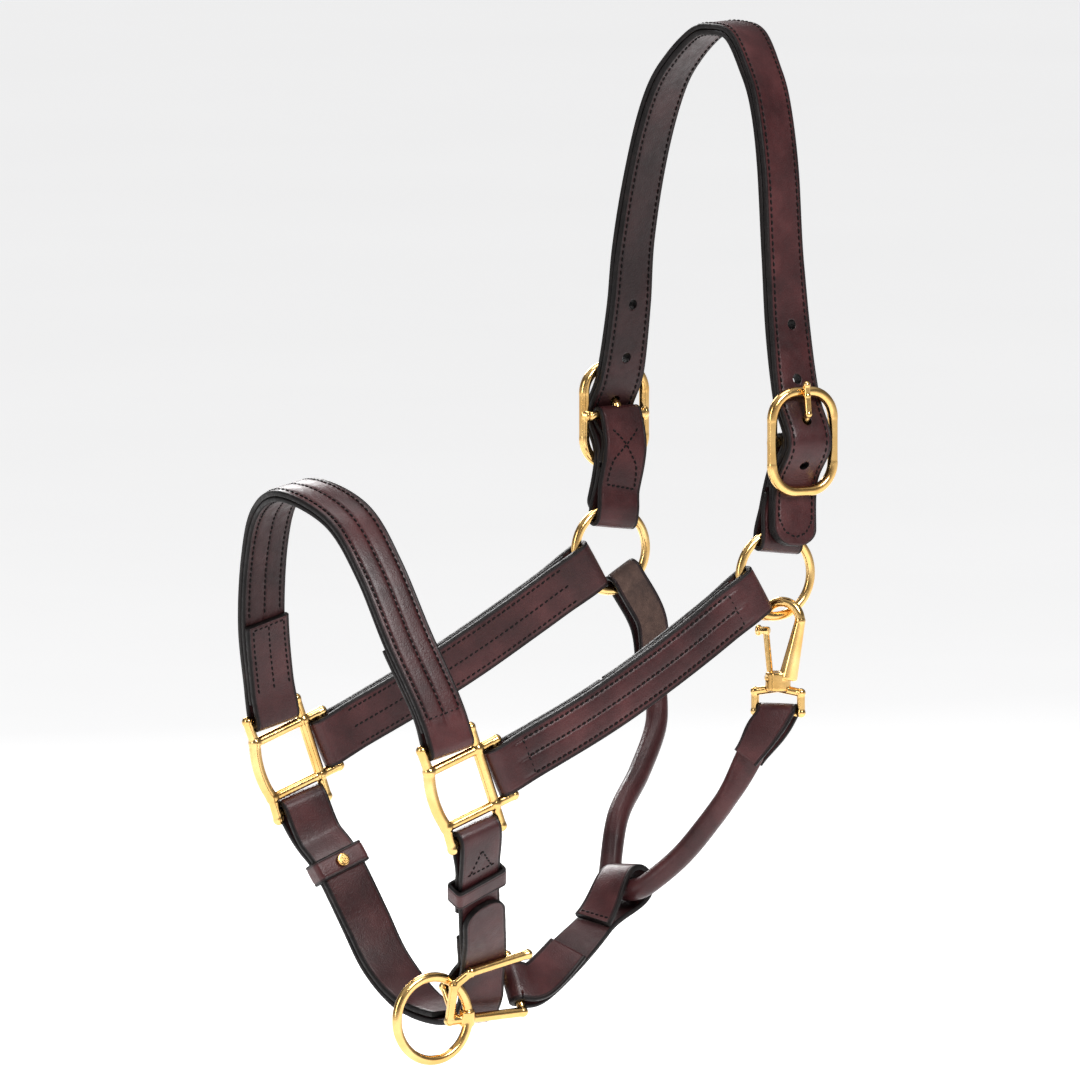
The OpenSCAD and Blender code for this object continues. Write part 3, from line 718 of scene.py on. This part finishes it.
for side in ("near", "far"):
    casting(side + "_square_casting", side + "_halter_square", ROOT, 0.4, 20, 0.55)
    casting(side + "_buckle_casting", side + "_buckle_frame", ROOT, 0.4, 12, 0.4)
    casting(side + "_tongue_casting", side + "_buckle_tongue", side + "_tongue", 0.25, 6, 0.25)
    casting(side + "_ring_wire", side + "_upper_ring", side + "_ring", 0.4, 3, 0.1)
casting("chin_fitting_casting", "chin_fitting", ROOT, 0.4, 16, 0.35)
casting("snap_casting", "snap_body", "snap", 0.3, 16, 0.35)
casting("snap_gate_casting", "snap_gate", "snap_gate", 0.25, 8, 0.3)
casting("snap_pin_casting", "snap_gate_pin", "snap", 0.2, 2, 0.05)
casting("keeper_stud_casting", "far_keeper_stud", ROOT, 0.2, 8, 0.25)

# ---------------------------------------------------------------- chin strap, stay and keepers
chin_start = SQUARE_C - LUG_REACH * SQUARE_V
far_chin_points = [flip(chin_start), (-76, -194.8, -398), (-67, -189, -411), (-57, -179, -439),
                   (-48, -173, -459), (-36, -167, -474), (-22, -164, -481.5), (0, -163, -484),
                   (17, -163, -482), (26, -163.5, -473), (30.8, -165.6, -462.3), (35.6, -167.7, -454.3),
                   (52.4, -177.4, -437.6), (64, -185, -420)]
far_chin_widths = lean([20, 20, 21, 20, 14, 6, 0, 0, 0, 0, 4, 8, 20, 21])
CHIN_OUT = 1.7
LOOP_GAP = 2.9
chin_line = spine(far_chin_points, far_chin_widths)
chin_s = lengths(chin_line)
chin_outs = np.maximum(CHIN_OUT, LOOP_GAP + LEATHER_T / 2 - chin_s * 0.14)
chin_back = [(c - o * n, w, -n) for (c, w, n), o, s in zip(chin_line, chin_outs, chin_s) if 0 < s <= 150][::-1]
chin_turn = turned(chin_line[0], unit(chin_line[0][0] - chin_line[1][0]), chin_outs[0])
chin_outer = [(c + o * n, w, n) for (c, w, n), o in zip(chin_line, chin_outs)][1:]
chin_all = chin_back + chin_turn + chin_outer
piece = strap("far_chin_strap_leather", chin_all, STRAP_W, LEATHER_T, (), 0.25, narrow=tip(chin_all, 9),
              seed=50)
settle(piece, "far_chin_strap", ROOT)

near_stay_points = [chin_start, (76, -194.8, -398), (66, -189, -411), (50, -178, -436),
                    (33, -166, -452), (22, -165.5, -466)]
near_stay_widths = [(-x, -y, -z) for x, y, z in lean([20, 20, 21, 20, 8, 0])]
stay_legs = folded(spine(near_stay_points, near_stay_widths), LOOP_GAP, BAR_GAP, 0.2, 22, CHAPE_T, 48, 48)
piece = strap("near_chin_stay_leather", joined(stay_legs), STRAP_W - 0.6, CHAPE_T, (), 0.15, seed=52)
settle(piece, "near_chin_stay", ROOT)
thread = Thread()
for run in ([(7, 0), (20, 6.5)], [(7, 0), (20, -6.5)], [(20, -8.5), (20, 8.5)]):
    thread.path(stay_legs["outer"], run, CHAPE_T / 2 + 0.15)
thread.made("near_chin_stay_stitching", ROOT, "strap_leather")


def keeper(name, node, body, s, w, t, wall, length):
    """A leather loop round the strap, with rounded corners and edges."""
    c, across, out = s
    along = np.cross(across, out)
    line = []
    r = wall / 2
    rx, ry, corner = w / 2 + r, t / 2 + r, 1.6
    for cx, cy, a0 in ((1, 1, 0), (-1, 1, 90), (-1, -1, 180), (1, -1, 270)):
        for a in np.linspace(a0, a0 + 90, 9):
            a = math.radians(a)
            px = cx * (rx - corner) + corner * math.cos(a)
            py = cy * (ry - corner) + corner * math.sin(a)
            normal = math.cos(a) * across + math.sin(a) * out
            line.append((c + px * across + py * out, -along, normal))
    dense = []
    for a, b in zip(line, line[1:] + line[:1]):
        steps = max(1, int(np.linalg.norm(b[0] - a[0]) / 1.2))
        for i in range(steps):
            f = i / steps
            dense.append((a[0] * (1 - f) + b[0] * f, a[1], unit(a[2] * (1 - f) + b[2] * f)))
    shape = profile(length, wall, (), 0.1)
    k, n = len(shape), len(dense)
    verts, faces, paint = [], [], []
    kinds = kinds_of(shape)
    for c0, w0, n0 in dense:
        for p, q, _, _ in shape:
            verts.append(c0 + p * w0 + q * n0)
    for i in range(n):
        for j in range(k):
            faces.append((i * k + j, ((i + 1) % n) * k + j,
                          ((i + 1) % n) * k + (j + 1) % k, i * k + (j + 1) % k))
            paint.append(kinds[j])
    piece = add_piece(name, verts, faces, [FACE, EDGE, LINING, BORDER], paint)
    return settle(piece, node, body)


def at_index(points, widths, x):
    return station([vec(*p) for p in points], [vec(*w) for w in widths], x)


keeper("far_chin_keeper_leather", "far_chin_keeper", ROOT,
       at_index(far_chin_points, far_chin_widths, 2.05), STRAP_W + 0.6, 8.2, 2, 11)
keeper("near_chin_keeper_leather", "near_chin_keeper", "near_keeper",
       at_index(near_stay_points, near_stay_widths, 1.95), STRAP_W + 1.2, 7, 2, 11)

# ---------------------------------------------------------------- connector strap
connector_points = [(24.2, -141, -466.6), (24.2, -128, -466.6), (9, -92, -447), (0, -60.8, -424)]
connector_widths = [(-0.5, 0, 0.87), (-0.62, -0.1, 0.76), (-0.85, -0.1, 0.5), (-1, 0.2, 0.25)]
connector_legs = folded(spine(connector_points, connector_widths), BAR_GAP, ROLL_D / 2 + 2, 0.2, 30,
                        LEATHER_T, 44, 30)
piece = strap("connector_strap_leather", joined(connector_legs), 21, LEATHER_T, (), 0.15, seed=60)
settle(piece, "connector_strap", ROOT)
thread = Thread()
leg = connector_legs["back_b"]
reach = lengths(leg)[-1]
thread.path(leg, [(reach - 2.5, -8.5), (reach - 2.5, 8.5)], LEATHER_T / 2 + 0.2)
thread.made("connector_stitching", ROOT, "strap_leather")

# ---------------------------------------------------------------- throatlatch
throat_points = [(-70.4, -2.2, -316), (-66, -2, -331), (-57, -6.5, -351), (-44, -24.5, -373),
                 (-30, -46, -393), (-17.8, -58.4, -417.7), (-10.4, -63.3, -425.3), (0, -63, -426),
                 (10.8, -62.4, -425.4), (20.2, -59.1, -421.1), (34, -48.5, -406.5), (49, -40, -387), (59, -34, -371), (68, -28.5, -352)]
throat_widths = [(0.2, 0.95, 0), (0.2, 0.95, 0), (0.5, 0.8, 0), (0.7, 0.6, 0), (0.7, 0.6, 0), (0.4, 0.8, 0),
                 (0.2, 0.9, 0.2), (0, 0.9, 0.3), (-0.2, 0.9, 0.3), (-0.3, 0.9, 0.3), (-0.3, 0.9, 0.3), (0, 0.9, 0.3), (0.5, 0.7, 0),
                 (0.8, 0.6, 0)]
throat_line = spine(throat_points, throat_widths)


def roll(name, node, line, a, b, flat_a, flat_b, materials):
    """A rolled cover: round along its length, flattening towards both ends, with a seam."""
    sides, n = 32, len(line) - 1
    verts, faces = [], []
    for i, (c, w, d) in enumerate(line):
        x = min(1, min(i, n - i) / n * 8)
        ra, rb = flat_a + (a - flat_a) * ease(x), flat_b + (b - flat_b) * ease(x)
        for j in range(sides):
            t = 2 * math.pi * j / sides
            seam = 0.5 * math.exp(-((t - math.pi * 1.5) / 0.13) ** 2)
            verts.append(c + (ra - seam) * math.cos(t) * w + (rb - seam) * math.sin(t) * d)
    for i in range(n):
        for j in range(sides):
            k = (j + 1) % sides
            faces.append((i * sides + j, i * sides + k, (i + 1) * sides + k, (i + 1) * sides + j))
    faces.append(tuple(range(sides))[::-1])
    faces.append(tuple(n * sides + j for j in range(sides)))
    return settle(add_piece(name, verts, faces, materials), node, ROOT)


roll("throatlatch_roll_leather", "throatlatch_roll", throat_line, ROLL_D / 2, ROLL_D / 2, 7, 2.4, [FACE])
roll("throatlatch_core_cord", "throatlatch_core", throat_line[8:-8], ROLL_D / 2 - 2.7, ROLL_D / 2 - 2.7, 3.6,
     0.8, [COTTON])


def hairpin(line, gap_a, gap_b, t, narrow):
    s = lengths(line)
    total = s[-1]
    f = narrow + (1 - narrow) * ease(s / (total * 0.8))
    out = gap_a + (gap_b - gap_a) * np.maximum(0, s / total * 2 - 1) + t / 2
    c, w, n = line[-1]
    bend = turned((c, w, -n), np.cross(n, w), out[-1])
    first = [(c + o * n, w, n) for (c, w, n), o in zip(line[:-1], out)]
    last = [(c - o * n, w, -n) for (c, w, n), o in zip(line[:-1], out)][::-1]
    widths = list(f[:-1]) + [1.0] * len(bend) + list(f[:-1])[::-1]
    return first + bend + last, widths


far_end_dir = unit(vec(0, 0.5, -0.87))
far_end_points = [(-67.3, -2.5, -325), (-75.6, 0.4, -301), tuple(flip(RING_C) + FOLD_SEAT * far_end_dir)]
line, widths = hairpin(spine(far_end_points, [(0.2, 0.95, 0.1), (0.1, 0.9, 0.3), (0, 0.87, 0.5)]),
                       3.4, RING_GAP + 0.2, CHAPE_T, 0.8)
piece = strap("throatlatch_far_end_leather", line, 18, CHAPE_T, (), 0.1, narrow=widths, seed=70,
              face=FLESH)
settle(piece, "throatlatch_far_end", ROOT)

SNAP_C = vec(75.5, -18.3, -320)
EYE_BAR = vec(0.8, 0.6, 0)
near_end_points = [(66, -29.8, -356), (71, -25, -346), tuple(SNAP_C + vec(0, 0, -13))]
line = spine(near_end_points, [tuple(EYE_BAR)] * 3)
for i, (c, w, n) in enumerate(line):
    across = unit(w * (len(line) - 1 - i) + EYE_BAR * i)
    line[i] = (c, across, unit(np.cross(across, np.cross(n, w))))
line, widths = hairpin(line, 2.8, 2.1, CHAPE_T, 0.7)
piece = strap("throatlatch_near_end_leather", line, 20.4, CHAPE_T, (), 0.1, narrow=widths, seed=72)
settle(piece, "throatlatch_near_end", ROOT)

# ---------------------------------------------------------------- stage, light and camera
AZIMUTH, ELEVATION, DISTANCE = math.radians(58), math.radians(5.5), 14.0
back = Vector((math.sin(AZIMUTH) * math.cos(ELEVATION), -math.cos(AZIMUTH) * math.cos(ELEVATION),
               math.sin(ELEVATION)))
right = Vector((math.cos(AZIMUTH), math.sin(AZIMUTH), 0))
up = back.cross(right)
aim = Vector((0, -0.021, -0.264)) - 0.07625 * right + 0.011 * up
camera = bpy.data.objects.new("camera", bpy.data.cameras.new("camera"))
bpy.context.scene.collection.objects.link(camera)
camera.data.sensor_width = 36
camera.data.lens = 36 / (0.54 / DISTANCE)
camera.location = aim + DISTANCE * back
camera.rotation_mode = "QUATERNION"
camera.rotation_quaternion = back.to_track_quat("Z", "Y")
camera.data.clip_end = 120
bpy.context.scene.camera = camera

FLOOR_Z = -0.6
floor_mesh = bpy.data.meshes.new("floor")
rim = [(60 * math.cos(a), 60 * math.sin(a), FLOOR_Z) for a in np.linspace(0, 2 * math.pi, 97)[:-1]]
floor_mesh.from_pydata(rim, [], [tuple(range(96))])


def pale_floor(noise, cells, ramp, mix, bump, put):
    put("Base Color", ramp(noise(3, 3), [(0.3, (0.8, 0.8, 0.8)), (0.7, (0.83, 0.83, 0.83))]))
    put("Roughness", 0.9)
    put("Emission Color", (1.0, 1.0, 1.0))
    put("Emission Strength", 0.56)


floor_mesh.materials.append(material("pale_floor", pale_floor))
floor = bpy.data.objects.new("floor", floor_mesh)
bpy.context.scene.collection.objects.link(floor)


def soft_light(name, place, target, size, power, colour=(1, 1, 1)):
    lamp = bpy.data.lights.new(name, "AREA")
    lamp.shape = "RECTANGLE"
    lamp.size, lamp.size_y = size
    lamp.energy = power
    lamp.color = colour
    obj = bpy.data.objects.new(name, lamp)
    obj.location = place
    obj.rotation_mode = "QUATERNION"
    obj.rotation_quaternion = (Vector(place) - Vector(target)).to_track_quat("Z", "Y")
    bpy.context.scene.collection.objects.link(obj)


middle = Vector((0, -0.1, -0.27))
soft_light("key", middle + 1.5 * back + 1.1 * up + 0.9 * right, middle, (0.7, 0.8), 40)
soft_light("fill", middle + 1.3 * back + 0.5 * up - 1.5 * right, middle, (0.5, 1.3), 12)
soft_light("rim", middle - 1.5 * back + 1.1 * up - 0.6 * right, middle, (1.0, 0.6), 26)
soft_light("top", middle + Vector((0, 0, 1.9)), middle, (0.9, 0.9), 14)

world = bpy.data.worlds.new("studio")
world.use_nodes = True
tree = world.node_tree
place = tree.nodes.new("ShaderNodeTexCoord")
split = tree.nodes.new("ShaderNodeSeparateXYZ")
height = tree.nodes.new("ShaderNodeMapRange")
height.inputs["From Min"].default_value = -1
band = tree.nodes.new("ShaderNodeValToRGB")
for at, grey in ((0.0, 0.5), (0.56, 0.5), (0.62, 0.16), (0.8, 0.16), (0.88, 0.5)):
    stop = band.color_ramp.elements.new(at)
    stop.color = (grey, grey, grey * 1.01, 1)
for stop in [e for e in band.color_ramp.elements if e.position in (0.0, 1.0)][::-1][:1]:
    stop.color = (0.5, 0.5, 0.505, 1)
tree.links.new(place.outputs["Generated"], split.inputs[0])
tree.links.new(split.outputs["Z"], height.inputs["Value"])
tree.links.new(height.outputs[0], band.inputs["Fac"])
tree.links.new(band.outputs["Color"], tree.nodes["Background"].inputs["Color"])
tree.nodes["Background"].inputs["Strength"].default_value = 1.0
bpy.context.scene.world = world
bpy.context.scene.view_settings.view_transform = "Standard"
